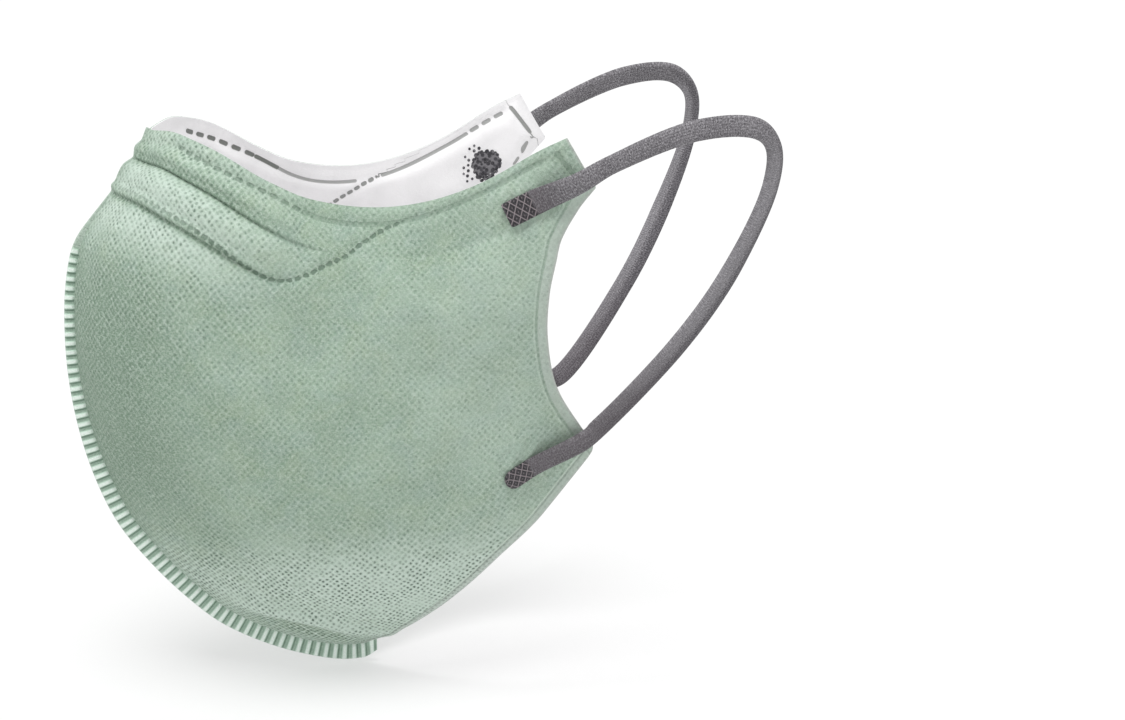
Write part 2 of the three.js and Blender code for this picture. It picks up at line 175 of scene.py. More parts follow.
# Pressed lines, as places (s, t) on the cheek.
TOP_WELD = [(0.021, 0.06), (0.029, 0.13), (0.026, 0.2), (0.02, 0.27), (0.022, 0.33), (0.03, 0.42)]
TOP_WELD += [(0.029, 0.53), (0.026, 0.61), (0.019, 0.74), (0.018, 0.85), (0.021, 0.94)]
TAB_WELD = [(0.016, 0.962), (0.064, 0.975)]
VEE_WELD = [(0.181, 0), (0.181, 0.1), (0.184, 0.2), (0.191, 0.28), (0.194, 0.33), (0.186, 0.362)]
VEE_WELD += [(0.162, 0.392), (0.11, 0.424), (0.069, 0.469), (0.04, 0.538), (0.027, 0.592)]


def smooth(table, column, at):
    """The smooth value of a table's column at places between its rows."""
    x = np.array(table["at"], float)
    y = np.array(table[column], float)
    n = np.arange(len(x))
    before = np.maximum(n - 1, 0)
    after = np.minimum(n + 1, len(x) - 1)
    slope = (y[after] - y[before]) / (x[after] - x[before])
    i = np.clip(np.searchsorted(x, at) - 1, 0, len(x) - 2)
    run = x[i + 1] - x[i]
    f = np.clip((at - x[i]) / run, 0, 1)
    straight = y[i] * (1 + 2 * f) * (1 - f) ** 2 + y[i + 1] * f * f * (3 - 2 * f)
    return straight + run * (slope[i] * f * (1 - f) ** 2 - slope[i + 1] * f * f * (1 - f))


def spline(points, steps):
    """A centripetal curve through points, and its length up to each of its samples."""
    p = np.vstack([2 * points[0] - points[1], points, 2 * points[-1] - points[-2]])
    d = np.sqrt(np.linalg.norm(np.diff(p, axis=0), axis=1))
    f = np.arange(steps)[:, None] / steps
    spans = []
    for i in range(1, len(p) - 2):
        a, b, c = d[i - 1], d[i], d[i + 1]
        start = ((p[i] - p[i - 1]) / a - (p[i + 1] - p[i - 1]) / (a + b) + (p[i + 1] - p[i]) / b) * b
        end = ((p[i + 1] - p[i]) / b - (p[i + 2] - p[i]) / (b + c) + (p[i + 2] - p[i + 1]) / c) * b
        square = 3 * (p[i + 1] - p[i]) - 2 * start - end
        cubic = 2 * (p[i] - p[i + 1]) + start + end
        spans.append(p[i] + start * f + square * f**2 + cubic * f**3)
    curve = np.vstack([*spans, points[-1:]])
    return curve, np.append(0, np.cumsum(np.linalg.norm(np.diff(curve, axis=0), axis=1)))


def ease(x, a, b):
    f = np.clip((x - a) / (b - a), 0, 1)
    return f * f * (3 - 2 * f)


def unit(v):
    return v / np.linalg.norm(v, axis=-1, keepdims=True)


ahead, behind, down = (np.array(KEEL[name]) for name in ("ahead", "behind", "down"))
keel_stations = np.stack([behind * CHIN_BACK - ahead * KEEL_BULGE, -down * KEEL_DROP], 1)
keel_curve, keel_run = spline(keel_stations, 200)
keel_length = keel_run[-1]
nose, chin = keel_curve[0], keel_curve[-1]
upper_corner = np.array([TOP_REACH, -TOP_EDGE["dip"][-1] * TOP_DIP])
tab_corner = np.array([TOP_REACH + TAB_BACK, upper_corner[1] - TAB_DROP])
lower_corner = np.array([LOWER_REACH, -LOWER_DROP])


def keel_point(at):
    run = np.clip(at, 0, 1) * keel_length
    return np.stack([np.interp(run, keel_run, keel_curve[:, k]) for k in (0, 1)], -1)


def top_point(t):
    return np.stack([nose[0] + (TOP_REACH - nose[0]) * t, -smooth(TOP_EDGE, "dip", t) * TOP_DIP], -1)


def jaw_point(t):
    along = lower_corner - chin
    outwards = np.array([along[1], -along[0]]) / np.linalg.norm(along)
    return chin + along * t[..., None] + outwards * (JAW_SAG * 4 * t * (1 - t))[..., None]


def rear_point(share):
    tab = upper_corner + (tab_corner - upper_corner) * (share / TAB_SHARE)[..., None]
    fall = np.clip((share - TAB_SHARE) / (1 - TAB_SHARE), 0, 1)
    cut = tab_corner + (lower_corner - tab_corner) * fall[..., None]
    cut[..., 0] -= smooth(REAR_EDGE, "hollow", fall) * REAR_HOLLOW
    return np.where((share <= TAB_SHARE)[..., None], tab, cut)


def half_width(s, t):
    by = smooth(WIDTHS, "by", s)
    full = smooth(WIDTHS, "full", s) * HALF_WIDTH
    rear = smooth(WIDTHS, "rear", s) * HALF_WIDTH
    rise = (1 - (1 - np.minimum(t / by, 1)) ** 2) ** smooth(WIDTHS, "keel", s)
    return full * rise + (rear - full) * ease(t, by, 1)


def cheek_point(s, t):
    """Points of the left cheek's outer face without its tucks."""
    s, t = np.broadcast_arrays(np.asarray(s, float), np.asarray(t, float))
    u, v = s[..., None], t[..., None]
    front = keel_point(smooth(LINES, "front", s)) - (nose + (chin - nose) * u)
    rear = rear_point(smooth(LINES, "rear", s)) - (upper_corner + (lower_corner - upper_corner) * u)
    p = top_point(t) * (1 - u) + jaw_point(t) * u + front * (1 - v) + rear * v
    p[..., 1] -= smooth(LINES, "sag", s) * KEEL_DROP * 4 * t * (1 - t)
    return np.concatenate([(FIN_WALL / 2 + GAP + half_width(s, t))[..., None], p], -1)


def cheek_frame(s, t):
    """Unit directions there: down along the cheek, back along it and outwards."""
    h = 1e-3
    down = cheek_point(np.minimum(s + h, 1), t) - cheek_point(np.maximum(s - h, 0), t)
    back = cheek_point(s, np.minimum(t + h, 1)) - cheek_point(s, np.maximum(t - h, 0))
    out = np.cross(down, back)
    out[..., 0] = np.where(t > 0, out[..., 0], 0)
    return unit(down), unit(back), unit(out)


def tuck_share(tuck, t):
    """How much of a tuck's height is left at a place back from the keel."""
    return (0.62 + 0.38 * ease(t, 0, 0.09)) * (1 - ease(t, tuck["fades"], tuck["ends"]))


def tuck_lift(s, t):
    lift = np.zeros(np.broadcast(s, t).shape)
    for tuck in TUCKS:
        climb = smooth(SWELL, "rise", np.clip((s - tuck["start"]) / (tuck["line"] - tuck["start"]), 0, 1))
        height = tuck["height"] * climb * tuck_share(tuck, t)
        lift = np.where((s > tuck["start"]) & (s <= tuck["line"]), height, lift)
    return lift


def valley(distance, half):
    return np.exp(-((distance / half) ** 2))


def line_at_keel(front):
    low, high = np.zeros_like(front), np.ones_like(front)
    for _ in range(30):
        middle = (low + high) / 2
        above = smooth(LINES, "front", middle) < front
        low = np.where(above, middle, low)
        high = np.where(above, high, middle)
    return low


def beside(points, normals, route):
    """How far each point lies across a route, signed by its side, and how far along it."""
    a = route[:-1]
    step = np.diff(route, axis=0)
    size = np.linalg.norm(step, axis=1)
    run = np.append(0, np.cumsum(size))
    across, along = [], []
    for begin in range(0, len(points), 4096):
        p = points[begin : begin + 4096]
        gap = p[:, None] - a
        f = np.clip((gap * step).sum(-1) / size**2, 0, 1)
        off = gap - f[..., None] * step
        far = np.linalg.norm(off, axis=-1)
        k = far.argmin(1)
        rows = np.arange(len(p))
        side = (np.cross(step[k], off[rows, k]) * normals[begin : begin + 4096]).sum(-1)
        across.append(np.where(side < 0, -1, 1) * far[rows, k])
        along.append(run[k] + f[rows, k] * size[k])
    return np.concatenate(across), np.concatenate(along)


def route_on_cheek(places, steps=12):
    """A smooth route over the cheek through places (s, t)."""
    path = spline(np.array(places, float), steps)[0]
    return cheek_point(np.clip(path[:, 0], 0, 1), np.clip(path[:, 1], 0, 1))


def flat_pattern(points):
    """Where a grid of cloth lies when it is laid flat, found by easing each edge to its real length."""
    flat = points[..., 1:].copy()
    pairs = []
    for dr, dc in ((0, 1), (1, 0), (1, 1), (1, -1)):
        rows = slice(0, points.shape[0] - dr), slice(dr, points.shape[0])
        left, right = max(-dc, 0), max(dc, 0)
        cols = slice(left, points.shape[1] - right), slice(right, points.shape[1] - left)
        a, b = (rows[0], cols[0]), (rows[1], cols[1])
        pairs.append((a, b, np.linalg.norm(points[b] - points[a], axis=-1)))
    for _ in range(1500):
        for a, b, rest in pairs:
            gap = flat[b] - flat[a]
            size = np.linalg.norm(gap, axis=-1)
            pull = (0.22 * (size - rest) / size)[..., None] * gap
            move = np.zeros_like(flat)
            move[a] += pull
            move[b] -= pull
            flat += move
    return flat


def resample(grid, rows, cols, new_rows, new_cols):
    """A grid of values at other rows and columns."""
    out = [np.interp(new_rows, rows, grid[:, j, k]) for j in range(len(cols)) for k in (0, 1)]
    out = np.stack(out, 1).reshape(len(new_rows), len(cols), 2)
    return np.stack([np.stack([np.interp(new_cols, cols, row[:, k]) for k in (0, 1)], 1) for row in out])


rng = np.random.default_rng(7)
ripple_waves = [
    (math.cos(a) / length, math.sin(a) / length, phase, length)
    for a, phase, length in zip(
        rng.uniform(0, math.pi, 14),
        rng.uniform(0, 6.28, 14),
        rng.uniform(11, 38, 14),
    )
]


def ripples(weave):
    """Soft unevenness of the cloth, in millimetres."""
    u, v = weave[..., 0], weave[..., 1]
    return 0.0035 * sum(length * np.sin(6.283 * (u * x + v * y) + p) for x, y, p, length in ripple_waves)


coarse_s = np.linspace(0, 1, 26)
coarse_t = np.linspace(0, 1, 24)
cheek_grid = cheek_point(*np.meshgrid(coarse_s, coarse_t, indexing="ij"))
cheek_flat = flat_pattern(cheek_grid)

# Columns are evenly spaced over the cloth at mid cheek.
probe = np.linspace(0, 1, 2000)
probe_run = np.append(0, np.cumsum(np.linalg.norm(np.diff(cheek_point(0.35, probe), axis=0), axis=1)))
COLUMNS = np.interp(np.linspace(0, probe_run[-1], 200), probe_run, probe)


def cheek_fields(s, t):
    """The cheek's points, directions and what the cloth's material reads at each of them."""
    grid_s, grid_t = np.meshgrid(s, t, indexing="ij")
    points = cheek_point(grid_s, grid_t)
    down, back, out = cheek_frame(grid_s, grid_t)
    shape = grid_s.shape
    flat_points, flat_out = points.reshape(-1, 3), out.reshape(-1, 3)

    def field(route):
        across, along = beside(flat_points, flat_out, route)
        return across.reshape(shape), along.reshape(shape)

    ends = np.linspace(0, 1, 160)
    zero = np.zeros(shape)
    top = field(cheek_point(0, ends))
    rear = field(cheek_point(ends, 1))
    jaw = field(cheek_point(1, ends))
    keel = field(cheek_point(ends, 0))
    side_view = np.array([0, 1, 1])
    level = np.broadcast_to([1.0, 0, 0], flat_points.shape)
    above_keel = beside(flat_points * side_view, level, cheek_point(ends, 0) * side_view)[0]
    above_keel = abs(above_keel).reshape(shape)
    hem = field(route_on_cheek(TOP_WELD))
    vee = field(route_on_cheek(VEE_WELD))
    tab = field(route_on_cheek(TAB_WELD))
    weave = resample(cheek_flat, coarse_s, coarse_t, s, t)
    # Painted light and shade: the cloth is painted pale over the nose, low towards the jaw and back towards
    # the ear, and painted darker in the folds and beside the seam. Near the chin it dips beside the seam and
    # bulges above that, with painted shade in the dip and a painted highlight on the bulge.
    low = -points[..., 2]
    nose_painted_shading = smooth(PAINTED_NOSE_SHADING, "painted_shading", grid_s) * ease(grid_t, 0.43, 0.1)
    seam_painted_shade = ease(above_keel, 34, 8) * ease(grid_s, 0.24, 0.36) * ease(grid_s, 0.76, 0.52)
    chin_dip = valley(keel[1] - CHIN_FOLD, 18)
    in_dip = valley(above_keel - 2.2 - 2.6 * chin_dip, 2.6)
    on_bulge = valley(above_keel - 4.4 - 5.2 * chin_dip, 1.7)
    chin_painted_shading = chin_dip * (0.9 * on_bulge - 1.5 * in_dip)
    # Painted light: the cloth low on the cheek towards the jaw is painted paler.
    by_jaw = 1.1 * ease(low, 84, 118) + 0.75 * ease(low, 92, 114) * ease(grid_t, 0.12, 0.4)
    painted_shading = nose_painted_shading + by_jaw + 0.38 * ease(grid_t, 0.5, 0.9) - 1.2 * seam_painted_shade + chin_painted_shading
    # The embossing is sharp at the chin and the nose, and worn elsewhere.
    by_bridge = ease(grid_t, 0.45, 0.12) * ease(grid_s, 0.5, 0.24)
    crisp = 0.48 + 0.52 * np.maximum(ease(low, 82, 112), 0.68 * by_bridge)
    return {
        "s": grid_s,
        "t": grid_t,
        "points": points,
        "down": down,
        "out": out,
        "weave": np.dstack([weave, zero]),
        "edges": np.dstack([abs(top[0]), abs(rear[0]), abs(jaw[0])]),
        "runs": np.dstack([rear[1], jaw[1], abs(keel[0])]),
        "hem": np.dstack([*hem, crisp]),
        "vee": np.dstack([*vee, zero]),
        # The tab attribute's third slot carries the painted light and shade.
        "tab": np.dstack([*tab, painted_shading]),
        "chin": chin_dip * (1.3 * on_bulge - 0.5 * in_dip),
    }


FIELD_NAMES = ("weave", "edges", "runs", "hem", "vee", "tab")


def near_weld(fields, weld):
    """Distance from the middle of a loop's weld, in millimetres."""
    return np.linalg.norm(fields["points"] - cheek_point(*weld), axis=-1)


def quilting(fields):
    """How deep the welds draw the cloth in, in millimetres."""
    top, rear, jaw = np.moveaxis(fields["edges"], -1, 0)
    deep = 0.42 * valley(fields["hem"][..., 0], 1.1)
    deep = np.maximum(deep, 0.2 * valley(rear - HEM_INSET, 0.7) * ease(fields["runs"][..., 0], 9, 12))
    deep = np.maximum(deep, 0.2 * valley(jaw - HEM_INSET, 0.7))
    vee_fade = ease(fields["vee"][..., 1], 18, 34)
    return np.maximum(deep, 0.4 * vee_fade * valley(fields["vee"][..., 0], 1.2))


def make_object(name, points, faces, attributes, material, sharp=50):
    mesh = bpy.data.meshes.new(name)
    mesh.from_pydata((points * MM).tolist(), [], faces)
    for key, values in attributes.items():
        layer = mesh.attributes.new(key, "FLOAT_VECTOR", "POINT")
        layer.data.foreach_set("vector", np.ascontiguousarray(values, dtype=np.float32).ravel())
    mesh.polygons.foreach_set("use_smooth", np.ones(len(mesh.polygons), bool))
    mesh.set_sharp_from_angle(angle=math.radians(sharp))
    mesh.update()
    mesh.materials.append(material)
    piece = bpy.data.objects.new(name, mesh)
    bpy.context.scene.collection.objects.link(piece)
    return piece


def grid_quads(rows, cols, start=0):
    index = start + np.arange(rows * cols).reshape(rows, cols)
    a, b, c, d = index[:-1, :-1], index[1:, :-1], index[1:, 1:], index[:-1, 1:]
    return np.stack([a, b, c, d], -1).reshape(-1, 4).tolist()


def every(count, stride):
    return sorted({*range(0, count, stride), count - 1})


def cloth_shell(face, hidden, fields, inward):
    """A closed sheet: its fine visible face, and a coarse face on its hidden side."""
    rows, cols = face.shape[:2]
    keep_r, keep_c = every(rows, 3), every(cols, 3)
    coarse = hidden[np.ix_(keep_r, keep_c)]
    points = np.vstack([face.reshape(-1, 3), coarse.reshape(-1, 3)])
    attributes = {}
    for name in FIELD_NAMES:
        values = fields[name]
        kept = values[np.ix_(keep_r, keep_c)]
        attributes[name] = np.vstack([values.reshape(-1, 3), kept.reshape(-1, 3)])
    start = rows * cols
    faces = grid_quads(rows, cols)
    faces += [q[::-1] for q in grid_quads(len(keep_r), len(keep_c), start)]
    last_row, last_col = len(keep_r) - 1, len(keep_c) - 1

    def under(i, j):
        return start + i * len(keep_c) + j

    for j, (a, b) in enumerate(zip(keep_c, keep_c[1:])):
        faces.append([*range(a, b + 1), under(0, j + 1), under(0, j)])
        last = (rows - 1) * cols
        faces.append([*range(last + b, last + a - 1, -1), under(last_row, j), under(last_row, j + 1)])
    for i, (a, b) in enumerate(zip(keep_r, keep_r[1:])):
        faces.append([*range(b * cols, a * cols - 1, -cols), under(i, 0), under(i + 1, 0)])
        ends = range(a * cols + cols - 1, b * cols + cols, cols)
        faces.append([*ends, under(i + 1, last_col), under(i, last_col)])
    if inward:
        faces = [f[::-1] for f in faces]
    return points, faces, attributes


def mirrored(points, faces):
    return points * np.array([-1, 1, 1]), [f[::-1] for f in faces]


def rim_shift(fields):
    """How far the cloth moves near its edge: in at the lower rear corner and the chin, else out."""
    rear, jaw = fields["edges"][..., 1], fields["edges"][..., 2]
    a = np.clip(1 - rear / CORNER_RADIUS, 0, 1)
    b = np.clip(1 - jaw / CORNER_RADIUS, 0, 1)
    back = np.cross(fields["out"], fields["down"])
    by_rear = (a - a * np.sqrt(1 - b * b / 2)) * CORNER_RADIUS
    by_jaw = (b - b * np.sqrt(1 - a * a / 2)) * CORNER_RADIUS
    # The rim bows out a little at the back and at the rear of the jaw.
    by_rear -= REAR_BOW * (1 - ease(rear, 0, 30)) * (0.25 + 0.75 * ease(fields["runs"][..., 0], 8, 32))
    by_jaw -= JAW_BOW * (1 - ease(jaw, 0, 30)) * ease(fields["t"], 0.5, 0.72)
    # At the chin the corner ends with the fin.
    chin_run = fields["runs"][..., 1]
    cut = CHIN_CUT * (1 - ease(chin_run, 0, 12)) + CHIN_TAPER * (1 - ease(chin_run, 8, 30))
    by_jaw += cut * (1 - ease(jaw, 0, 8))
    return -back * by_rear[..., None] - fields["down"] * by_jaw[..., None]


def cover_surface():
    """The outer cloth: its tucks overlap, and its welds draw it in."""
    lips = []
    for tuck in TUCKS:
        lips += [(tuck["line"] + offset, hang, share, tuck) for offset, hang, share in LIP]
    plain = [s for s in np.linspace(0, 1, 216) if all(abs(s - r[0]) > 0.0025 for r in lips)]
    table = sorted([(s, 0, None, None) for s in plain] + lips, key=lambda row: row[0])
    s = np.array([row[0] for row in table])
    fields = cheek_fields(s, COLUMNS)
    t = fields["t"]
    lift = tuck_lift(fields["s"], t)
    hang = np.zeros_like(lift)
    for i, (_, over, share, tuck) in enumerate(table):
        if tuck is None:
            continue
        fade = tuck_share(tuck, t[i])
        ridge = SWELL["rise"][-1] * tuck["height"] * share * fade
        below = lift[i] if s[i] > tuck["line"] else np.where(fade > 0, 0, lift[i])
        lift[i] = below + ridge
        hang[i] = over * fade
    top, rear, jaw = np.moveaxis(fields["edges"], -1, 0)
    rim = np.minimum(np.minimum(top, rear), jaw)
    seam = fields["runs"][..., 2]
    calm = ease(rim, 1, 9) * ease(seam, 1, 8)
    weld = sum(valley(near_weld(fields, w), 9) for w in (UPPER_WELD, LOWER_WELD))
    u, v = fields["weave"][..., 0], fields["weave"][..., 1]
    puckers = 0.22 * weld * np.sin(u * 1.5 + 2 * np.sin(v * 0.6))
    height = lift + ripples(fields["weave"]) * calm + puckers * calm + fields["chin"] - quilting(fields)
    height -= 0.45 * (1 - ease(rim, 0, 1.3))
    drawn = rim_shift(fields) + fields["down"] * hang[..., None]
    face = fields["points"] + fields["out"] * height[..., None] + drawn
    hidden = fields["points"] - fields["out"] * 0.62 + drawn * (hang == 0)[..., None]
    for surface in (face, hidden):
        surface[..., 0] = np.maximum(surface[..., 0], 0.35)
    face[:, 0, 0] = 0.5
    hidden[:, 0, 0] = 0.5
    return face, hidden, fields


def lining_surface():
    fields = cheek_fields(np.linspace(0, 1, 200), COLUMNS)
    top, rear, jaw = np.moveaxis(fields["edges"], -1, 0)
    rim = np.minimum(np.minimum(top, rear), jaw)
    loose = ease(rim, 0.2, 6)
    flat = np.minimum(*(ease(near_weld(fields, w), 8, 16) for w in (UPPER_WELD, LOWER_WELD)))
    depth = 0.8 + (LINING_DEPTH - 0.8) * loose
    depth -= quilting(fields) * 1.1 * ease(rim, 0.5, 2) + ripples(fields["weave"]) * 1.3 * loose * flat
    drawn = rim_shift(fields)
    face = fields["points"] - fields["out"] * depth[..., None] + drawn
    hidden = fields["points"] - fields["out"] * (0.63 + 0.2 * loose)[..., None] + drawn
    for surface in (face, hidden):
        surface[..., 0] = np.maximum(surface[..., 0], 0.15)
    face[:, 0, 0] = 0.15
    hidden[:, 0, 0] = 0.15
    return face, hidden, fields


def fin_mesh():
    """The welded seam along the keel: a slab with rounded bars pressed across it."""
    run = np.arange(0, keel_length, 0.2)
    at = run / keel_length
    s = line_at_keel(at)
    zero = np.zeros_like(s)
    root = cheek_point(s, zero)
    root[:, 0] = 0
    out = cheek_frame(s, zero)[2]
    soften = np.hanning(11) / np.hanning(11).sum()
    lift = np.convolve(np.pad(tuck_lift(s, zero), 5, "edge"), soften, "valid")
    in_bar = (run / BAR_PITCH - BAR_START * keel_length / BAR_PITCH) % 1 * BAR_PITCH
    bar = ease(in_bar, 0, 0.3) * (1 - ease(in_bar, BAR_WIDTH - 0.3, BAR_WIDTH))
    bar *= run > BAR_START * keel_length
    width = smooth(FIN, "width", at) * FIN_WIDTH
    # Across the fin: how far out, as a share of its width, and how thick the bars and the slab are.
    profile = [(-0.35, 0, 0.75), (0.04, 0.1, 0.72), (0.12, 0.8, 0.7), (0.3, 1, 0.68), (0.55, 1, 0.66)]
    profile += [(0.8, 0.95, 0.64), (0.93, 0.8, 0.58), (1, 0.35, 0.34)]
    ring = [(-1, *row) for row in profile] + [(1, *row) for row in profile[::-1]]
    points, across = [], []
    for side, share, raised, slab in ring:
        x = side * (slab - 0.12 + 0.42 * bar * raised)
        reach = np.where(share < 0, -0.8, lift + share * width)
        p = root + out * reach[:, None]
        p[:, 0] = x
        points.append(p)
        across.append(np.full_like(run, share))
    points = np.stack(points, 1)
    n = len(ring)
    index = np.arange(len(run) * n).reshape(len(run), n)
    after = np.roll(index, -1, axis=1)
    faces = np.stack([index[:-1], index[1:], after[1:], after[:-1]], -1).reshape(-1, 4).tolist()
    faces += [index[0].tolist(), index[-1][::-1].tolist()]
    fin = np.stack([np.repeat(run[:, None], n, 1), np.stack(across, 1), np.repeat(bar[:, None], n, 1)], -1)
    return points.reshape(-1, 3), faces, {"fin": fin.reshape(-1, 3)}


def on_cheek(weld, height):
    s, t = (np.array([v]) for v in weld)
    out = cheek_frame(s, t)[2][0]
    return cheek_point(s, t)[0] + out * height, out


def loop_mesh():
    """The elastic band, pressed thin where it is welded."""
    height = GAP + PRESSED_THICKNESS / 2
    upper, upper_out = on_cheek(UPPER_WELD, height)
    lower, lower_out = on_cheek(LOWER_WELD, height)
    step = {name: np.array(values)[:, None] for name, values in LOOP.items()}
    sizes = np.hstack([step["out"] * LOOP_FLARE, step["back"] * LOOP_REACH, step["up"] * LOOP_RISE])
    free = upper + (lower - upper) * step["low"] + sizes
    shares = np.array([-0.5, 0, 0.5])[:, None]

    def welded(point, out, towards):
        leaving = towards - point
        leaving = unit(leaving - out * (leaving @ out))
        return point + leaving * shares * PRESSED_LENGTH

    first, last = welded(upper, upper_out, free[0]), welded(lower, lower_out, free[-1])
    stations = np.vstack([first, free, last[::-1]])
    turns = np.concatenate([[0] * 3, LOOP["turn"], [0] * 3])
    widths = np.concatenate([[UPPER_WELD_WIDTH] * 3, LOOP["width"], [LOWER_WELD_WIDTH] * 3])
    curve, run = spline(stations, 60)
    where = np.linspace(0, run[-1], 380)
    at = np.interp(where, run, np.arange(len(run)) / 60)
    centre = np.stack([np.interp(where, run, curve[:, k]) for k in range(3)], 1)
    tangent = unit(np.gradient(centre, axis=0))
    kernel = np.hanning(17) / np.hanning(17).sum()

    def along_band(values):
        shares = np.interp(at, np.arange(len(turns)), values)
        return np.convolve(np.pad(shares, 8, "edge"), kernel, "valid")

    turn = np.radians(along_band(turns))
    share = along_band(widths)
    face = upper_out + (lower_out - upper_out) * ease(at / (len(turns) - 1), 0.15, 0.85)[:, None]
    face = unit(face - tangent * (face * tangent).sum(-1, keepdims=True))
    wide = np.cross(tangent, face)
    turned = face * np.cos(turn)[:, None] + wide * np.sin(turn)[:, None]
    wide = np.cross(tangent, turned)
    from_end = np.minimum(where, run[-1] - where)
    loose = ease(from_end, PRESSED_LENGTH * 0.9, PRESSED_LENGTH * 3)
    half = (PRESSED_THICKNESS + (BAND_THICKNESS - PRESSED_THICKNESS) * loose) / 2
    half *= 0.88 + 0.12 * ease(from_end, 0, 0.8)
    # The upper end is cut square and the lower one is round.
    left = np.clip(1 - (run[-1] - where) / (0.42 * BAND_WIDTH), 0, 1)
    share = share * np.sqrt(1 - 0.93 * left**2) * (1 - 0.08 * np.clip(1 - where / 0.6, 0, 1) ** 2)
    centre = centre + turned * ((half - PRESSED_THICKNESS / 2) * np.cos(turn))[:, None]
    angle = np.linspace(0, 2 * math.pi, 33)[:-1]
    w = np.sign(np.cos(angle)) * abs(np.cos(angle)) ** 0.5
    h = np.sign(np.sin(angle)) * abs(np.sin(angle)) ** 0.75
    across = w * BAND_WIDTH / 2
    pressed = 1 - ease(from_end, PRESSED_LENGTH * 0.84, PRESSED_LENGTH * 0.96)
    # The band's edges curl in where it bends at the back of the ear.
    curl = CURL * np.clip(1 - share, 0, 1) * ease(from_end, 30, 50)
    dish = curl[:, None] * (w**2 - 0.35)
    reach = turned[:, None] * (h * half[:, None] - dish)[..., None]
    points = centre[:, None] + wide[:, None] * (across * share[:, None])[..., None] + reach
    rows, n = points.shape[:2]
    index = np.arange(rows * n).reshape(rows, n)
    after = np.roll(index, -1, axis=1)
    faces = np.stack([index[:-1], after[:-1], after[1:], index[1:]], -1).reshape(-1, 4).tolist()
    faces += [index[0][::-1].tolist(), index[-1].tolist()]

    def spread(*columns):
        """Columns with a value for each row, or for each point round the band, as one attribute."""
        return np.stack([np.broadcast_to(c, (rows, n)) for c in columns], -1).reshape(-1, 3)

    band = spread(where[:, None], across, from_end[:, None])
    side = spread(h, pressed[:, None], loose[:, None])
    return points.reshape(-1, 3), faces, {"band": band, "side": side}


def mark_mesh(weld, lining):
    """The spots that a loop's weld leaves on the lining: merged in the middle, loose at one side."""
    s, t = (np.array([v]) for v in weld)
    down, back, out = (v[0] for v in cheek_frame(s, t))
    spots = []
    for i in range(-7, 8):
        for j in range(-7, 8):
            x, y = (i + 0.5 * (j % 2)) * 0.84, j * 0.73
            if math.hypot(x, y) < 3.9 + 0.25 * math.sin(3 * math.atan2(y, x) + 1):
                spots.append((x, y, 0.6))
            x, y = (i + 0.5 * (j % 2)) * 1.42, j * 1.23
            far, lean = math.hypot(x, y), math.atan2(y, x)
            if 4.6 < far < 6.9 and (lean < -1.35 or lean > 2.7) and (i + 2 * j) % 5:
                spots.append((x, y, 0.46 - 0.06 * (far - 4.5)))
    points, faces = [], []
    sides = 12
    origin = cheek_point(s, t)[0] + down * 2.3 + back * 0.5
    for k, (x, y, radius) in enumerate(spots):
        jitter = rng.uniform(-0.12, 0.12, 2)
        middle = origin + back * (x + jitter[0]) + down * (y + jitter[1])
        nearest = lining[np.linalg.norm(np.cross(lining - middle, out), axis=-1).argmin()]
        sunk = (middle - nearest) @ out
        start = len(points)
        radius *= rng.uniform(0.85, 1.12)
        for ring, depth in ((1.0, sunk - 0.3), (0.95, sunk + 0.08 + 0.01 * (k % 3)), (0.6, sunk + 0.16)):
            for a in np.linspace(0, 2 * math.pi, sides, endpoint=False):
                spoke = (back * math.cos(a) + down * math.sin(a)) * radius * ring
                points.append(middle + spoke - out * depth)
        for ring in (0, 1):
            for a in range(sides):
                b = (a + 1) % sides
                low, high = start + ring * sides, start + (ring + 1) * sides
                faces.append([low + a, low + b, high + b, high + a])
        faces.append([start + 2 * sides + a for a in range(sides)])
        faces.append([start + a for a in range(sides)][::-1])
    points = np.array(points)
    return points, faces, {"spot": points.copy()}


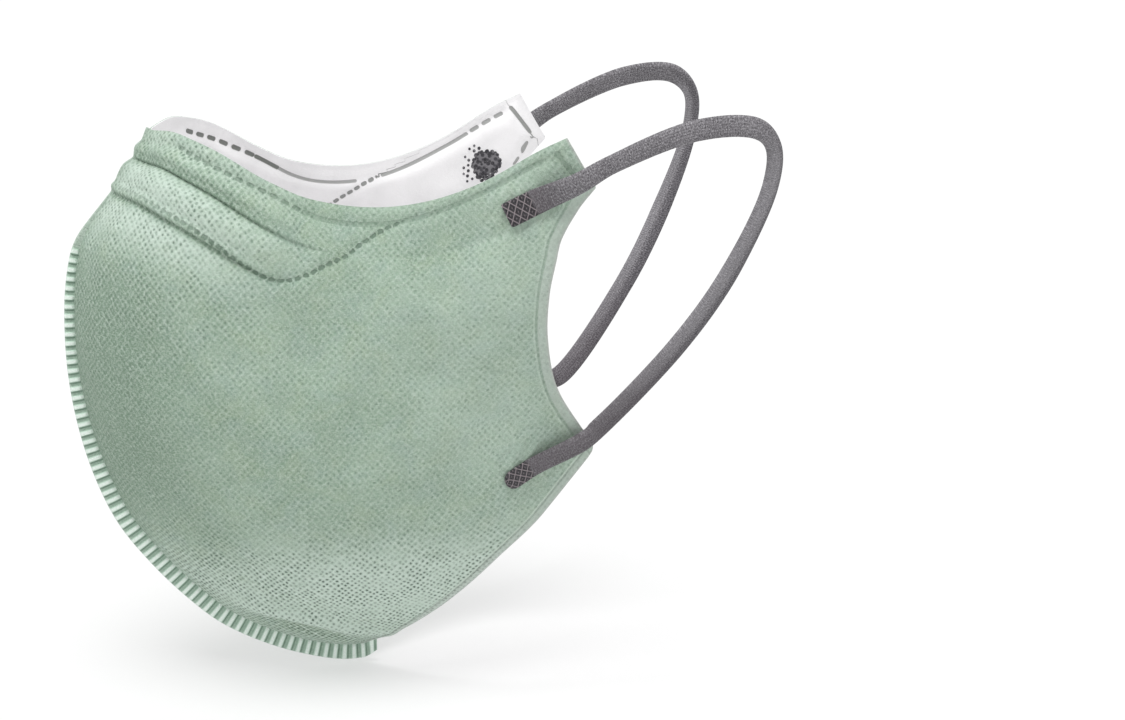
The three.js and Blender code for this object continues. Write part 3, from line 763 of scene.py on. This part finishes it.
class Shade:
    """A material and short ways to add its nodes. A value is a number, a colour or a socket."""

    # A colour that is mixed or painted may be its display code.

    def __init__(self, name):
        self.material = bpy.data.materials.new(name)
        self.material.use_nodes = True
        self.tree = self.material.node_tree
        self.tree.nodes.clear()

    def node(self, kind, values=(), **settings):
        node = self.tree.nodes.new(kind)
        for key, value in settings.items():
            setattr(node, key, value)
        for key, value in dict(values).items():
            if isinstance(value, bpy.types.NodeSocket):
                self.tree.links.new(value, node.inputs[key])
            else:
                node.inputs[key].default_value = value
        return node

    def math(self, operation, *values):
        return self.node("ShaderNodeMath", dict(enumerate(values)), operation=operation).outputs[0]

    def add(self, *values):
        total = values[0]
        for value in values[1:]:
            total = self.math("ADD", total, value)
        return total

    def times(self, *values):
        total = values[0]
        for value in values[1:]:
            total = self.math("MULTIPLY", total, value)
        return total

    def minus(self, a, b):
        return self.math("SUBTRACT", a, b)

    def largest(self, *values):
        total = values[0]
        for value in values[1:]:
            total = self.math("MAXIMUM", total, value)
        return total

    def field(self, name):
        vector = self.node("ShaderNodeAttribute", attribute_name=name).outputs["Vector"]
        return vector, *self.node("ShaderNodeSeparateXYZ", {0: vector}).outputs

    def ramp(self, value, low, high, start=0.0, end=1.0):
        values = {"Value": value, "From Min": low, "From Max": high, "To Min": start, "To Max": end}
        return self.node("ShaderNodeMapRange", values, interpolation_type="SMOOTHSTEP").outputs["Result"]

    def noise(self, vector, scale, detail=2.0, roughness=0.5, output="Fac"):
        values = {"Vector": vector, "Scale": scale, "Detail": detail, "Roughness": roughness}
        return self.node("ShaderNodeTexNoise", values).outputs[output]

    def vector(self, operation, values):
        return self.node("ShaderNodeVectorMath", values, operation=operation).outputs[0]

    def off(self, value, middle):
        """How far a value is from a middle one."""
        return self.math("ABSOLUTE", self.minus(value, middle))

    def shift(self, vector, noise, amount):
        centred = self.vector("SUBTRACT", {0: noise, 1: (0.5, 0.5, 0.5)})
        scaled = self.vector("SCALE", {0: centred, "Scale": amount})
        return self.vector("ADD", {0: vector, 1: scaled})

    def stretch(self, vector, scale):
        return self.vector("MULTIPLY", {0: vector, 1: scale})

    def mix(self, factor, a, b):
        node = self.node("ShaderNodeMix", data_type="RGBA", blend_type="MIX")
        for socket, value in ((node.inputs[0], factor), (node.inputs[6], a), (node.inputs[7], b)):
            if isinstance(value, bpy.types.NodeSocket):
                self.tree.links.new(value, socket)
            else:
                socket.default_value = rgb(value) if isinstance(value, str) else value
        return node.outputs[2]

    def paint(self, colour, *layers):
        """A colour with others laid over it, each by its own share."""
        for share, code in layers:
            colour = self.mix(share, colour, code)
        return colour

    def wave(self, value, pitch):
        return self.math("COSINE", self.math("MULTIPLY", value, 2 * math.pi / pitch))

    def dashes(self, across, along, start, end, width, length=0.0, pitch=0.0):
        """1 inside a pressed line or its dashes, with round ends, and 0 outside."""
        if pitch:
            cell = self.math("FRACT", self.math("DIVIDE", self.minus(along, start), pitch))
            off = self.times(self.off(cell, 0.5), pitch)
            after, before = self.math("GREATER_THAN", along, start), self.math("LESS_THAN", along, end)
            inside = self.times(after, before)
            reach = (length - width) / 2
        else:
            off = self.off(along, (start + end) / 2)
            inside = 1.0
            reach = (end - start - width) / 2
        past = self.math("MAXIMUM", self.minus(off, reach), 0.0)
        far = self.math("SQRT", self.add(self.times(past, past), self.times(across, across)))
        return self.times(self.ramp(far, width / 2 + 0.12, width / 2 - 0.12), inside)

    def finish(self, colour, roughness, height, sheen=0.0, **constants):
        """Height is in millimetres."""
        bump = self.node("ShaderNodeBump", {"Height": height, "Distance": MM, "Strength": 1.0})
        values = {"Base Color": colour, "Roughness": roughness, "Normal": bump.outputs[0]}
        values.update({"Sheen Weight": sheen, "Sheen Roughness": 0.5, "Specular IOR Level": 0.3, **constants})
        shader = self.node("ShaderNodeBsdfPrincipled", values)
        self.node("ShaderNodeOutputMaterial", {"Surface": shader.outputs[0]})
        return self.material


def rgb(code):
    """A display colour as the shader's linear one."""
    values = [int(code[i : i + 2], 16) / 255 for i in (0, 2, 4)]
    return (*[v / 12.92 if v < 0.04045 else ((v + 0.055) / 1.055) ** 2.4 for v in values], 1)


def cover_material():
    g = Shade("embossed_green_nonwoven")
    weave, *_ = g.field("weave")
    _, _, rear, jaw = g.field("edges")
    _, rear_run, jaw_run, seam = g.field("runs")
    _, hem_across, hem_along, sharp = g.field("hem")
    _, vee_across, vee_along, _ = g.field("vee")
    # The third slot of the tab attribute is the painted light and shade.
    _, tab_across, tab_along, painted_shading = g.field("tab")
    wander = g.shift(weave, g.noise(weave, 0.4, 2, output="Color"), 0.8)
    u, v, _ = g.node("ShaderNodeSeparateXYZ", {0: wander}).outputs
    # Staggered pits: rows 0.95 apart with a pit every 1.7, on the corners of a turned square grid.
    across_rows, along_rows = g.times(u, 0.5 / 0.85), g.times(v, 0.5 / 0.95)
    turned = {0: g.add(across_rows, along_rows), 1: g.minus(across_rows, along_rows)}
    grid = g.node("ShaderNodeCombineXYZ", turned).outputs[0]
    staggered = {"Vector": grid, "Scale": 1.0, "Randomness": 0.3}
    cells = g.node("ShaderNodeTexVoronoi", staggered, voronoi_dimensions="2D")
    distance = cells.outputs["Distance"]
    chance, *_ = g.node("ShaderNodeSeparateColor", {0: cells.outputs["Color"]}).outputs
    patchy = g.ramp(g.noise(weave, 0.16, 3, 0.6), 0.34, 0.6, 0.45, 1.0)
    crisp = g.times(sharp, patchy)
    depth = g.largest(g.ramp(chance, 0.0, 0.8, 0.35, 1.0), g.ramp(sharp, 0.5, 1.0))
    worn = g.ramp(g.noise(weave, 0.9, 2, 0.6), 0.35, 0.55, 0.45, 1.0)
    pit = g.times(g.ramp(distance, 0.38, 0.12), crisp, depth, worn)
    ridge = g.times(g.ramp(distance, 0.42, 0.62), crisp, worn)
    strands = g.noise(g.shift(weave, g.noise(weave, 0.7, output="Color"), 1.6), 0.85, 3, 0.6)
    strand = g.ramp(g.off(strands, 0.5), 0.035, 0.008)
    fibres = g.noise(g.stretch(weave, (1.0, 1.5, 1.0)), 1.6, 5, 0.75)
    fuzz = g.noise(weave, 2.6, 3, 0.8)
    blotch = g.noise(weave, 0.05, 4, 0.6)
    tint = g.noise(g.shift(weave, g.noise(weave, 0.1, output="Color"), 12), 0.14, 2, 0.5)
    near_dashes = g.dashes(hem_across, hem_along, 2.0, 38.0, 1.0, 2.0, 3.0)
    hem_line = g.dashes(hem_across, hem_along, 38.0, 98.0, 1.2)
    wobble = g.times(g.minus(g.noise(weave, 1.2), 0.5), 0.9)
    vee_dashes = g.dashes(g.add(vee_across, wobble), g.add(vee_along, wobble), 4.0, 90.0, 0.95, 1.55, 2.05)
    bar = g.dashes(g.add(tab_across, g.times(wobble, 1.6)), tab_along, 0.0, 8.5, 1.2)
    rear_off = g.minus(rear, HEM_INSET)
    rear_line = g.times(g.ramp(g.math("ABSOLUTE", rear_off), 0.45, 0.15), g.ramp(rear_run, 12, 16))
    jaw_line = g.ramp(g.off(jaw, HEM_INSET - 0.35), 0.4, 0.12)
    # A painted highlight along the jaw's weld line and beside the rear one, on a slight raised bump.
    painted_hem_highlight = g.times(g.ramp(g.off(jaw, HEM_INSET), 0.4, 0.12), g.ramp(jaw_run, 20, 36))
    painted_rear_highlight = g.ramp(g.math("ABSOLUTE", g.add(rear_off, -0.6)), 0.4, 0.1)
    painted_rear_highlight = g.times(painted_rear_highlight, g.ramp(rear_run, 14, 22), 0.4)
    painted_hem_highlight = g.largest(painted_hem_highlight, painted_rear_highlight)
    soft = g.largest(
        g.times(hem_line, 0.35),
        g.times(rear_line, 0.3),
        g.times(jaw_line, 0.4),
        g.times(bar, 0.5),
    )
    vee_strength = g.ramp(vee_along, 12, 42, 0.35, 0.85)
    pressed = g.largest(g.times(near_dashes, 0.6), g.times(vee_dashes, vee_strength), soft)

    colour = g.mix(g.ramp(blotch, 0.32, 0.68), "8EA691", "A3BAA6")
    colour = g.paint(
        colour,
        (g.ramp(tint, 0.52, 0.66, 0.0, 0.3), "A2B597"),
        (g.ramp(tint, 0.48, 0.34, 0.0, 0.35), "98AFA5"),
    )
    # Painted light in pale streaks where the painted shading is positive, and painted shade where it is
    # negative.
    streaks = g.noise(g.stretch(weave, (0.35, 1.0, 1.0)), 0.5, 3, 0.6)
    painted_light = g.times(g.largest(painted_shading, 0.0), g.ramp(streaks, 0.3, 0.6, 0.6, 1.0))
    colour = g.paint(
        colour,
        (g.times(painted_light, 0.85), "CBDDD0"),
        (g.times(g.math("MINIMUM", painted_shading, 0.0), -0.8), "7A937E"),
        (g.times(g.ramp(fibres, 0.5, 0.68), 0.58), "CADBCD"),
        (g.times(g.ramp(fibres, 0.46, 0.31), 0.55), "718A76"),
        (g.times(g.ramp(fuzz, 0.54, 0.68), 0.48), "D5E5D8"),
        (g.times(g.ramp(fuzz, 0.44, 0.31), 0.45), "617A67"),
        (g.times(strand, 0.4), "D3E2D5"),
        # A painted highlight on the ridges between the pits.
        (g.times(ridge, g.ramp(sharp, 0.8, 1.0, 0.5, 0.8)), "DCEAE0"),
    )
    # Painted shade darkens the pits, on top of their bump.
    pit_colour = g.mix(g.ramp(sharp, 0.8, 1.0), "647C6B", "4F6657")
    colour = g.mix(g.times(pit, 0.95), colour, pit_colour)
    # Painted shade in the last few millimetres beside the keel seam.
    colour = g.mix(g.ramp(seam, 6, 1, 0.0, 0.25), colour, "7C9481")
    rim = g.math("MINIMUM", g.add(rear, g.ramp(rear_run, 16, 10, 0, 9)), jaw)
    strip = g.ramp(rim, HEM_INSET, HEM_INSET - 0.4)
    colour = g.paint(
        colour,
        (g.times(strip, 0.55), "C2CCC4"),
        (g.ramp(g.math("MINIMUM", rear, jaw), 0.8, 0.2, 0.0, 0.5), "C2C2BF"),
        (g.times(pressed, 0.85), "5C7462"),
        (g.times(painted_hem_highlight, 0.7), "D6E6D8"),
    )
    height = g.add(
        g.times(pit, -0.24),
        g.times(ridge, 0.09),
        g.times(fibres, 0.26),
        g.times(fuzz, 0.12),
        g.times(strand, 0.05),
        g.times(pressed, -0.3),
        g.times(painted_hem_highlight, 0.12),
    )
    return g.finish(colour, g.ramp(pressed, 0, 1, 0.8, 0.5), height, sheen=0.1)


def lining_material():
    g = Shade("smooth_white_nonwoven")
    weave, *_ = g.field("weave")
    _, _, rear, jaw = g.field("edges")
    _, rear_run, _, _ = g.field("runs")
    _, hem_across, hem_along, _ = g.field("hem")
    _, vee_across, vee_along, _ = g.field("vee")
    _, tab_across, tab_along, _ = g.field("tab")
    near = g.dashes(hem_across, hem_along, 5.6, 29.4, 1.05, 2.75, 4.0)
    dark = g.dashes(hem_across, hem_along, 29.0, 36.0, 1.0)
    first = g.dashes(hem_across, hem_along, 29.2, 56.5, 0.8)
    second = g.dashes(hem_across, hem_along, 63.0, 88.3, 0.85)
    far = g.dashes(hem_across, hem_along, 88.7, 99.6, 1.0, 2.55, 3.6)
    vee = g.dashes(vee_across, vee_along, 3.8, 89.0, 1.0, 1.55, 2.05)
    bar = g.dashes(tab_across, tab_along, 0.0, 9.0, 1.0)
    rear_dashes = g.dashes(g.minus(rear, HEM_INSET), rear_run, 13.2, 84.0, 0.95, 2.5, 3.65)
    pressed = g.largest(
        near,
        dark,
        g.times(first, 0.72),
        g.times(second, 0.72),
        g.times(far, 0.75),
        g.times(vee, 0.85),
        g.times(bar, 0.85),
        g.times(rear_dashes, 0.75),
    )
    rear_line = g.ramp(g.off(jaw, HEM_INSET), 0.5, 0.2, 0.0, 0.3)
    fibres = g.noise(g.stretch(weave, (1.0, 2.2, 1.0)), 1.4, 5, 0.7)
    soft = g.noise(weave, 0.09, 3, 0.5)
    colour = g.mix(g.ramp(soft, 0.3, 0.7), "E8E7E8", "F1F0F1")
    colour = g.paint(
        colour,
        (g.times(g.ramp(fibres, 0.5, 0.78), 0.3), "FCFBFC"),
        (g.times(g.ramp(fibres, 0.46, 0.25), 0.2), "DAD8DA"),
        (rear_line, "B4B6B2"),
        (g.times(pressed, 0.92), "60645F"),
    )
    height = g.add(g.times(fibres, 0.1), g.times(pressed, -0.28), g.times(rear_line, -0.2))
    # The lining glows a little: painted light standing in for light that passes through the thin white layer.
    painted_glow = {"Emission Color": colour, "Emission Strength": 0.12}
    return g.finish(colour, g.ramp(pressed, 0, 1, 0.8, 0.45), height, sheen=0.1, **painted_glow)


def fin_material():
    g = Shade("welded_seam")
    _, run, across, bar = g.field("fin")
    position = g.node("ShaderNodeTexCoord").outputs["Object"]
    millimetres = g.stretch(position, (1000.0, 1000.0, 1000.0))
    grain = g.noise(millimetres, 2.2, 4, 0.7)
    # Painted light on each bar: a painted highlight along its core and a painted shadow line along its rear
    # side.
    phase = g.math("FRACT", g.math("DIVIDE", g.minus(run, BAR_START * keel_length), BAR_PITCH))
    bar_shadow_line = g.ramp(g.off(phase, (BAR_WIDTH + 0.1) / BAR_PITCH), 0.12, 0.04)
    bar_highlight = g.ramp(g.off(phase, 0.5 * BAR_WIDTH / BAR_PITCH), 0.26, 0.1)
    tip = g.ramp(across, 0.85, 1.0)
    gap = g.mix(g.ramp(grain, 0.35, 0.7), "9AB3A2", "B0C5B5")
    light = g.mix(g.times(bar_highlight, g.ramp(grain, 0.3, 0.6, 0.6, 1.0)), "BDD6C5", "F0FAF3")
    colour = g.mix(g.ramp(bar, 0.3, 0.7), gap, light)
    colour = g.paint(
        colour,
        (g.times(bar_shadow_line, 0.65), "6A8271"),
        (g.times(tip, 0.3), "B4C4B9"),
    )
    plain = g.mix(g.ramp(grain, 0.35, 0.7), "A3B5A6", "C3D0C6")
    colour = g.mix(g.ramp(run, 36.0, 32.5), colour, plain)
    height = g.add(g.times(bar_shadow_line, -0.1), g.times(grain, 0.16))
    return g.finish(colour, g.ramp(bar, 0, 1, 0.6, 0.42), height)


def band_material():
    g = Shade("knitted_elastic")
    band, along, across, from_end = g.field("band")
    _, _, pressed, _ = g.field("side")
    # Fine threads across the band in rows along it, with stray light and dark fibres.
    wander = g.times(g.minus(g.noise(band, 1.3, 3), 0.5), 1.1)
    thread = g.wave(g.add(along, wander), 0.62)
    row = g.wave(g.add(across, g.times(wander, 0.5)), 0.74)
    grain = g.noise(g.stretch(band, (1.7, 0.8, 0.0)), 2.1, 4, 0.85)
    specks = g.noise(g.stretch(band, (1.6, 0.9, 0.0)), 1.9, 4, 0.85)
    cloudy = g.noise(band, 0.12, 2)
    knit = g.add(g.times(thread, 0.5), g.times(row, 0.4))
    # The welded ends are pressed into slanting cells, each with a dark ring in it.
    slant_a = g.add(g.times(from_end, 0.8), g.times(across, -0.62))
    slant_b = g.add(g.times(from_end, 0.74), g.times(across, 0.7))
    off_a = g.off(g.math("FRACT", g.math("DIVIDE", slant_a, 1.55)), 0.5)
    off_b = g.off(g.math("FRACT", g.math("DIVIDE", slant_b, 1.55)), 0.5)
    far = g.largest(off_a, off_b)
    cell = g.times(g.ramp(far, 0.46, 0.38), g.ramp(far, 0.0, 0.16, 0.35, 1.0))
    # Down the back of the loop the band's edges curl: its inner side gets painted shade with dark flecks, and
    # the rest a painted highlight.
    free = g.minus(1.0, pressed)
    low_run = g.times(g.ramp(along, 58, 76), g.ramp(along, 176, 128))
    curl_shade = g.times(g.ramp(across, 0.5, -1.2), low_run)
    lower_end = g.times(g.ramp(along, 112, 150), free)
    colour = g.mix(g.ramp(cloudy, 0.35, 0.65), "6E6B6F", "7C797D")
    colour = g.paint(
        colour,
        (g.ramp(knit, -0.05, -0.85, 0.0, 0.42), "4C494E"),
        (g.ramp(knit, 0.15, 0.9, 0.0, 0.3), "A3A1A5"),
        (g.times(g.ramp(specks, 0.51, 0.6), 0.75), "B4B2B6"),
        (g.times(g.ramp(specks, 0.48, 0.39), 0.75), "39373C"),
    )
    flecked = g.mix(g.ramp(specks, 0.4, 0.55), "2E2C31", "6B686D")
    colour = g.mix(g.times(curl_shade, 0.75), colour, flecked)
    # Painted highlight on the outer part of the band's width down the back of the loop.
    colour = g.mix(g.times(g.ramp(across, -0.4, 1.2), low_run, 0.4), colour, "A3A1A5")
    speckle = g.noise(band, 2.4, 3, 0.8)
    welded = g.mix(cell, "948A8E", g.mix(g.ramp(speckle, 0.4, 0.62), "1F1D21", "4B484C"))
    colour = g.mix(pressed, colour, welded)
    beside = g.times(g.ramp(from_end, 16, 8), free)
    colour = g.mix(g.times(g.largest(beside, lower_end), 0.45), colour, "524A4F")
    height = g.add(
        g.times(knit, free, 0.1),
        g.times(grain, 0.16),
        g.times(cell, pressed, -0.3),
    )
    return g.finish(colour, g.ramp(pressed, 0, 1, 0.88, 0.5), height, sheen=0.12)


def mark_material():
    g = Shade("fused_spots")
    spot, *_ = g.field("spot")
    grain = g.noise(spot, 1.8, 4, 0.7)
    cells = g.node("ShaderNodeTexVoronoi", {"Vector": spot, "Scale": 1.1}).outputs["Distance"]
    colour = g.mix(g.ramp(grain, 0.35, 0.68), "2C2C30", "57555A")
    colour = g.mix(g.ramp(cells, 0.45, 0.75, 0.0, 0.7), colour, "8E8C90")
    return g.finish(colour, 0.5, g.add(g.times(grain, 0.15), g.times(cells, 0.2)))


def floor_material():
    """A lit white table."""
    g = Shade("pale_floor")
    position = g.node("ShaderNodeTexCoord").outputs["Object"]
    grain = g.noise(position, 9.0, 3, 0.5)
    colour = g.mix(g.ramp(grain, 0.3, 0.7), (0.36, 0.36, 0.36, 1), (0.37, 0.37, 0.37, 1))
    glow = {"Emission Color": (1, 1, 1, 1), "Emission Strength": 0.53}
    return g.finish(colour, 0.9, g.times(grain, 0.02), **glow)


materials = {
    "cover": cover_material(),
    "lining": lining_material(),
    "fin": fin_material(),
    "band": band_material(),
    "mark": mark_material(),
}


def dress(name, node, points, faces, attributes, material, slot, sharp=50):
    piece = make_object(name, points, faces, attributes, material, sharp)
    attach(piece, "root")
    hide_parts(node)
    return piece


def dress_pair(name, node, mesh, material, slot, sharp=50):
    points, faces, attributes = mesh
    left = dress(f"{name}_left", f"{node}_left", points, faces, attributes, material, slot, sharp)
    points, faces = mirrored(points, faces)
    right = dress(f"{name}_right", f"{node}_right", points, faces, attributes, material, slot, sharp)
    return left, right


cover_face, cover_hidden, cover_fields = cover_surface()
covers = dress_pair(
    "cover_cloth",
    "cover",
    cloth_shell(cover_face, cover_hidden, cover_fields, False),
    materials["cover"],
    "cover_cloth",
)
lining_face, lining_hidden, lining_fields = lining_surface()
linings = dress_pair(
    "lining_cloth",
    "lining",
    cloth_shell(lining_face, lining_hidden, lining_fields, True),
    materials["lining"],
    "lining_cloth",
)
inner_side = lining_face.reshape(-1, 3)
dress("welded_keel", "keel_fin", *fin_mesh(), materials["fin"], "keel_weld")
dress_pair("elastic_loop", "ear_loop", loop_mesh(), materials["band"], "elastic", 70)
for end, weld in (("upper", UPPER_WELD), ("lower", LOWER_WELD)):
    spots = mark_mesh(weld, inner_side)
    dress_pair(f"{end}_spots", f"{end}_weld_mark", spots, materials["mark"], "weld_mark", 40)


# The floor, the light and the camera.
signs = ((-1, -1), (1, -1), (1, 1), (-1, 1))
corners = np.array([(x * FLOOR_HALF, y * FLOOR_HALF, FLOOR_HEIGHT) for x, y in signs])
floor = make_object("floor", corners, [[0, 1, 2, 3]], {}, floor_material())

world = bpy.data.worlds.new("studio")
bpy.context.scene.world = world
world.use_nodes = True
sky = world.node_tree.nodes["Background"]
sky.inputs["Color"].default_value = (1, 1, 1, 1)
seen = world.node_tree.nodes.new("ShaderNodeLightPath")
strength = world.node_tree.nodes.new("ShaderNodeMapRange")
strength.inputs["To Min"].default_value = SKY_STRENGTH
strength.inputs["To Max"].default_value = BACKDROP_STRENGTH
world.node_tree.links.new(seen.outputs["Is Camera Ray"], strength.inputs["Value"])
world.node_tree.links.new(strength.outputs["Result"], sky.inputs["Strength"])


def soft_sun(name, direction, spread, power):
    """A wide, distant light that comes from a direction."""
    light = bpy.data.lights.new(name, "SUN")
    light.angle = math.radians(spread)
    light.energy = power
    back = unit(np.array(direction, float))
    right = unit(np.cross((0, 1, 0), back))
    matrix = np.eye(4)
    matrix[:3, :3] = np.stack([right, np.cross(back, right), back], 1)
    lamp = bpy.data.objects.new(name, light)
    lamp.matrix_world = Matrix(matrix.tolist())
    bpy.context.scene.collection.objects.link(lamp)


soft_sun("overhead", (0.24, -0.16, 0.95), 36, 2.35)

azimuth = math.radians(CAMERA_AZIMUTH)
back = unit(np.array(CAMERA_BACK))
right = np.array([-math.sin(azimuth), math.cos(azimuth), 0])
pose = np.eye(4)
pose[:3, :3] = np.stack([right, np.cross(back, right), back], 1)
pose[:3, 3] = np.array(CAMERA_PLACE) * MM
lens = bpy.data.cameras.new("camera")
lens.lens = CAMERA_LENS
lens.sensor_width = 36
lens.sensor_fit = "HORIZONTAL"
lens.clip_start = 0.01
lens.clip_end = 50
camera = bpy.data.objects.new("camera", lens)
camera.matrix_world = Matrix(pose.tolist())
bpy.context.scene.collection.objects.link(camera)
bpy.context.scene.camera = camera
bpy.context.scene.view_settings.view_transform = "Standard"
